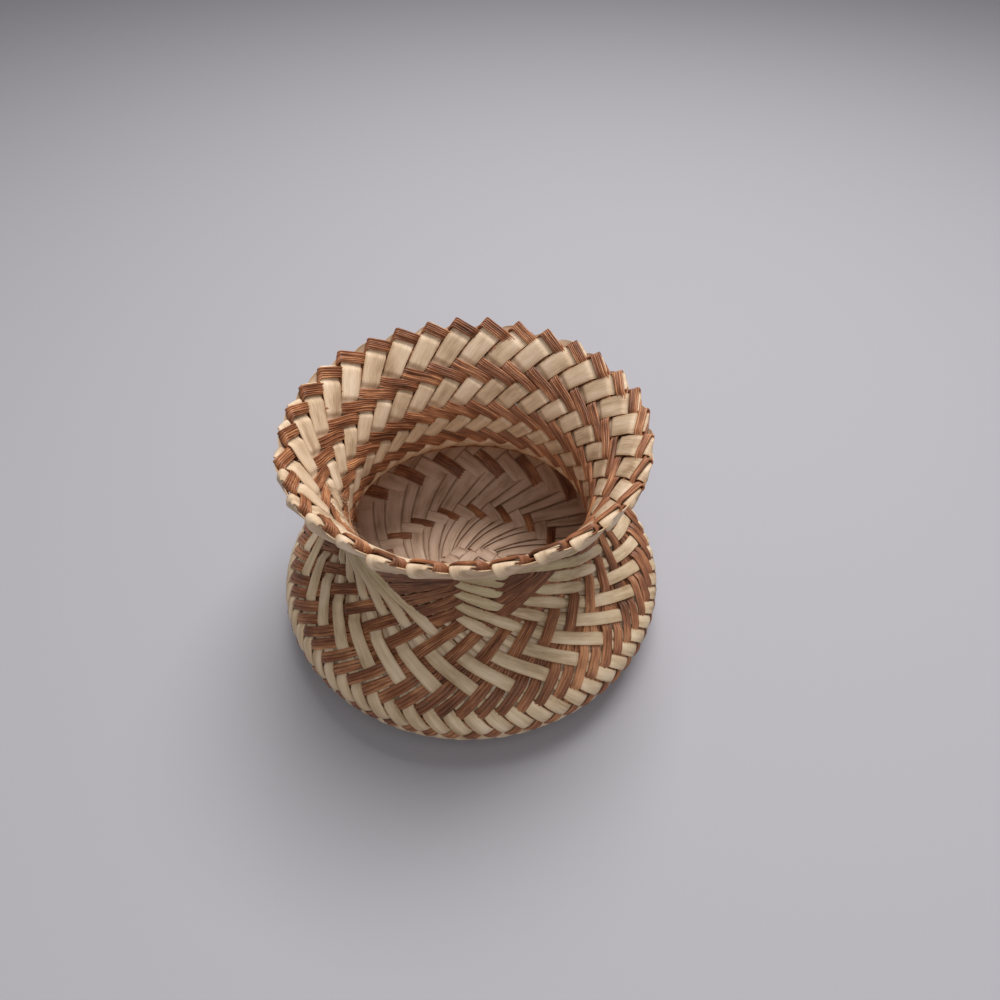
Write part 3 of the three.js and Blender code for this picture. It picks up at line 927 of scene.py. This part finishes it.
def ramp(node, stops):
    """Sets a colour ramp's stops from (place, colour)."""
    elements = node.color_ramp.elements
    while len(elements) < len(stops):
        elements.new(0.5)
    for element, (place, colour) in zip(elements, stops):
        element.position = place
        element.color = (*colour, 1)


def linear(r, g, b):
    """A colour given in screen values, as the shader wants it."""
    c = np.array([r, g, b]) / 255
    return tuple(np.where(c <= 0.04045, c / 12.92, ((c + 0.055) / 1.055) ** 2.4))


BUMP_DEPTH = 0.0004  # in metres, as the shader wants it
SPECULAR = 0.35
SHADE_FROM = EDGE_MARK - 1.0  # across marks at which the painted edge shade of a strip begins
# Painted shade of the flare over the outside of the neck and, weaker, over the belly.
NECK_SHADE_STARTS = (16.0, 34.0)  # along marks over which the painted shade of the neck comes in
NECK_SHADE_ENDS = (92.0, 70.0)  # and over which it goes, read upward
NECK_SHADE_LEFT = 0.3  # the share of it that stays on the belly
NECK_SHADE_SHARE = 0.85


def fibre_tone(material, stops, fine, bump):
    """The tone of dry plant fibre: fine lines along the strip, a slow change from strip to strip and
    blotches, added up and looked up in a ramp of colours. The fine lines are also a bump."""
    n = node_chain(material, [
        ("uv", "ShaderNodeUVMap", {"uv_map": "strip"}),
        ("place", "ShaderNodeTexCoord", {}),
        ("stretch", "ShaderNodeMapping", {"Scale": (fine, 0.16, 1)}),
        ("lines", "ShaderNodeTexNoise", {"Scale": 1.0, "Detail": 5.0, "Roughness": 0.6}),
        ("long", "ShaderNodeMapping", {"Scale": (0.22, 0.035, 1)}),
        ("strips", "ShaderNodeTexNoise", {"Scale": 1.0, "Detail": 2.0}),
        ("blotch", "ShaderNodeTexNoise", {"Scale": 70.0, "Detail": 3.0, "Roughness": 0.55}),
        ("sum", "ShaderNodeMath", {"operation": "MULTIPLY_ADD", 1: 0.4}),
        ("sum2", "ShaderNodeMath", {"operation": "MULTIPLY_ADD", 1: 0.7}),
        ("sum3", "ShaderNodeMath", {"operation": "MULTIPLY_ADD", 1: 0.5, 2: -0.3}),
        ("ramp", "ShaderNodeValToRGB", {}),
        ("bump", "ShaderNodeBump", {"Strength": bump, "Distance": BUMP_DEPTH}),
    ])
    link = material.node_tree.links.new
    link(n["uv"].outputs["UV"], n["stretch"].inputs["Vector"])
    link(n["stretch"].outputs["Vector"], n["lines"].inputs["Vector"])
    link(n["uv"].outputs["UV"], n["long"].inputs["Vector"])
    link(n["long"].outputs["Vector"], n["strips"].inputs["Vector"])
    link(n["place"].outputs["Object"], n["blotch"].inputs["Vector"])
    link(n["lines"].outputs["Fac"], n["sum3"].inputs[0])
    link(n["strips"].outputs["Fac"], n["sum2"].inputs[0])
    link(n["sum3"].outputs["Value"], n["sum2"].inputs[2])
    link(n["blotch"].outputs["Fac"], n["sum"].inputs[0])
    link(n["sum2"].outputs["Value"], n["sum"].inputs[2])
    link(n["sum"].outputs["Value"], n["ramp"].inputs["Fac"])
    ramp(n["ramp"], stops)
    link(n["lines"].outputs["Fac"], n["bump"].inputs["Height"])
    return n["uv"].outputs["UV"], n["ramp"].outputs["Color"], n["bump"].outputs["Normal"]


def painted_edge_shade(material, marks, colour, edge_shade):
    """Painted shade where neighbouring strips meet: multiplies the colour by a darker one toward the
    edges of a strip, which are where the across mark is far from a whole number of strips."""
    n = node_chain(material, [
        ("split", "ShaderNodeSeparateXYZ", {}),
        ("part", "ShaderNodeMath", {"operation": "PINGPONG", 1: STRIP_MARKS / 2}),
        ("near", "ShaderNodeMapRange", {"From Min": SHADE_FROM, "From Max": float(EDGE_MARK)}),
        ("mix", "ShaderNodeMix", {"data_type": "RGBA", "blend_type": "MULTIPLY"}),
    ])
    n["mix"].inputs["B"].default_value = (*edge_shade, 1)
    link = material.node_tree.links.new
    link(marks, n["split"].inputs["Vector"])
    link(n["split"].outputs["X"], n["part"].inputs[0])
    link(n["part"].outputs["Value"], n["near"].inputs["Value"])
    link(n["near"].outputs["Result"], n["mix"].inputs["Factor"])
    link(colour, n["mix"].inputs["A"])
    return n["mix"].outputs["Result"]


def painted_neck_shade(material, marks, colour, neck_shade):
    """Painted shade of the flare: multiplies the colour by a darker one on the outside of the neck, and
    by some of it on the belly.
    """
    starts = {"From Min": NECK_SHADE_STARTS[0], "From Max": NECK_SHADE_STARTS[1]}
    ends = {"From Min": NECK_SHADE_ENDS[0], "From Max": NECK_SHADE_ENDS[1], "To Min": NECK_SHADE_LEFT}
    n = node_chain(material, [
        ("split", "ShaderNodeSeparateXYZ", {}),
        ("down", "ShaderNodeMapRange", starts),
        ("up", "ShaderNodeMapRange", ends),
        ("both", "ShaderNodeMath", {"operation": "MULTIPLY"}),
        ("some", "ShaderNodeMath", {"operation": "MULTIPLY", 1: NECK_SHADE_SHARE}),
        ("mix", "ShaderNodeMix", {"data_type": "RGBA", "blend_type": "MULTIPLY"}),
    ])
    n["mix"].inputs["B"].default_value = (*neck_shade, 1)
    link = material.node_tree.links.new
    link(marks, n["split"].inputs["Vector"])
    link(n["split"].outputs["Y"], n["down"].inputs["Value"])
    link(n["split"].outputs["Y"], n["up"].inputs["Value"])
    link(n["down"].outputs["Result"], n["both"].inputs[0])
    link(n["up"].outputs["Result"], n["both"].inputs[1])
    link(n["both"].outputs["Value"], n["some"].inputs[0])
    link(n["some"].outputs["Value"], n["mix"].inputs["Factor"])
    link(colour, n["mix"].inputs["A"])
    return n["mix"].outputs["Result"]


def fibre_material(name, light, middle, dark, roughness, fine, bump, neck_shade=None, edge_shade=None):
    """Dry plant fibre, with painted shade at the edges of the strips and painted shade on the outside of
    the neck, where they are given.
    """
    material = bpy.data.materials.new(name)
    material.use_nodes = True
    shader = material.node_tree.nodes["Principled BSDF"]
    shader.inputs["Roughness"].default_value = roughness
    shader.inputs["Specular IOR Level"].default_value = SPECULAR
    stops = [(0.28, dark), (0.5, middle), (0.68, light)]
    marks, colour, normal = fibre_tone(material, stops, fine, bump)
    if edge_shade:
        # Painted shade along both edges of every strip, where neighbours meet.
        colour = painted_edge_shade(material, marks, colour, edge_shade)
    if neck_shade:
        # Painted shade of the flare on the outside of the neck, and a little on the belly.
        colour = painted_neck_shade(material, marks, colour, neck_shade)
    link = material.node_tree.links.new
    link(colour, shader.inputs["Base Color"])
    link(normal, shader.inputs["Normal"])
    return material


# Palm leaf. The edge colour is painted shade between neighbouring strips, and the neck colour is painted
# shade of the flare, darker and greener.
PALM = fibre_material(
    "dry_palm_leaf",
    light=linear(238, 212, 184), middle=linear(218, 189, 156), dark=linear(172, 140, 108),
    roughness=0.55, fine=2.6, bump=0.35, neck_shade=(0.84, 0.91, 0.76), edge_shade=(0.8, 0.72, 0.64),
)
# A darker copy of the palm leaf for the floor strips inside: painted shade of the basket's inside, with
# deep painted shade along the strip edges.
SHADED_FLOOR_PALM = fibre_material(
    "dry_palm_leaf_inside_painted_shade",
    light=linear(222, 192, 168), middle=linear(204, 172, 146), dark=linear(162, 128, 102),
    roughness=0.6, fine=2.6, bump=0.35, edge_shade=(0.42, 0.33, 0.27),
)
# Pine needles. The neck colour is painted shade of the flare, darkening the needles by about two fifths.
NEEDLE = fibre_material(
    "dry_pine_needles",
    light=linear(208, 148, 104), middle=linear(152, 96, 64), dark=linear(92, 55, 35),
    roughness=0.42, fine=3.0, bump=0.25, neck_shade=(0.6, 0.56, 0.53),
)

# The table, the light and the camera, in metres.
TABLE_REACH = 3
TABLE_COLOUR = linear(170, 167, 172)
LAMPS = (
    ("window", (0.17, 0.38, 1.13), 0.7, 15),  # name, place, size, watts
    ("fill", (0.1, -0.75, 1.0), 0.9, 4.0),
)
LAMP_TARGET = (0, 0, 0.05)
ROOM_COLOUR = (0.93, 0.95, 1.0)
ROOM_STRENGTH = 0.18
CAMERA_PLACE = (0.0127, -0.217, 0.2896)
CAMERA_TILT = np.radians(44)
LENS, SENSOR = 27.04, 36  # millimetres


def table_top():
    """A plain level table for the basket to stand on."""
    mesh = bpy.data.meshes.new("table_top")
    corners = [(x * TABLE_REACH, y * TABLE_REACH, 0) for x, y in ((-1, -1), (1, -1), (1, 1), (-1, 1))]
    mesh.from_pydata(corners, [], [(0, 1, 2, 3)])
    material = bpy.data.materials.new("pale_table")
    material.use_nodes = True
    shader = material.node_tree.nodes["Principled BSDF"]
    shader.inputs["Base Color"].default_value = (*TABLE_COLOUR, 1)
    shader.inputs["Roughness"].default_value = 0.8
    mesh.materials.append(material)
    plane = bpy.data.objects.new("table_top", mesh)
    bpy.context.scene.collection.objects.link(plane)


def lamp(name, place, size, power):
    """A square lamp that looks at the basket."""
    light = bpy.data.lights.new(name, "AREA")
    light.size = size
    light.energy = power
    holder = bpy.data.objects.new(name, light)
    holder.location = place
    way = np.array(LAMP_TARGET) - np.array(place)
    holder.rotation_euler = Vector(way).to_track_quat("-Z", "Y").to_euler()
    bpy.context.scene.collection.objects.link(holder)


def light_and_camera():
    """The lamps, a dim room all round, and the camera."""
    for name, place, size, power in LAMPS:
        lamp(name, place, size, power)
    world = bpy.data.worlds.new("room")
    bpy.context.scene.world = world
    world.use_nodes = True
    world.node_tree.nodes["Background"].inputs["Color"].default_value = (*ROOM_COLOUR, 1)
    world.node_tree.nodes["Background"].inputs["Strength"].default_value = ROOM_STRENGTH
    lens = bpy.data.cameras.new("camera")
    lens.lens = LENS
    lens.sensor_width = SENSOR
    camera = bpy.data.objects.new("camera", lens)
    camera.location = CAMERA_PLACE
    camera.rotation_euler = (CAMERA_TILT, 0, 0)
    bpy.context.scene.collection.objects.link(camera)
    bpy.context.scene.camera = camera
    bpy.context.scene.view_settings.view_transform = "Standard"


for i in range(TEETH):
    woven_palm(i)
for pair in range(TEETH // 2):
    woven_needles(pair)

# The strips' inner runs are the inner layer of the wall, which the frame has as rings.
RING_NODES = (
    "inner_belly_upper", "inner_shoulder_lower", "inner_shoulder_upper", "inner_neck",
    "flare_throat", "flare_lining",
)
for name in RING_NODES:
    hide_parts(name)
woven_floor()
woven_base()
stray_fibres()
table_top()
light_and_camera()
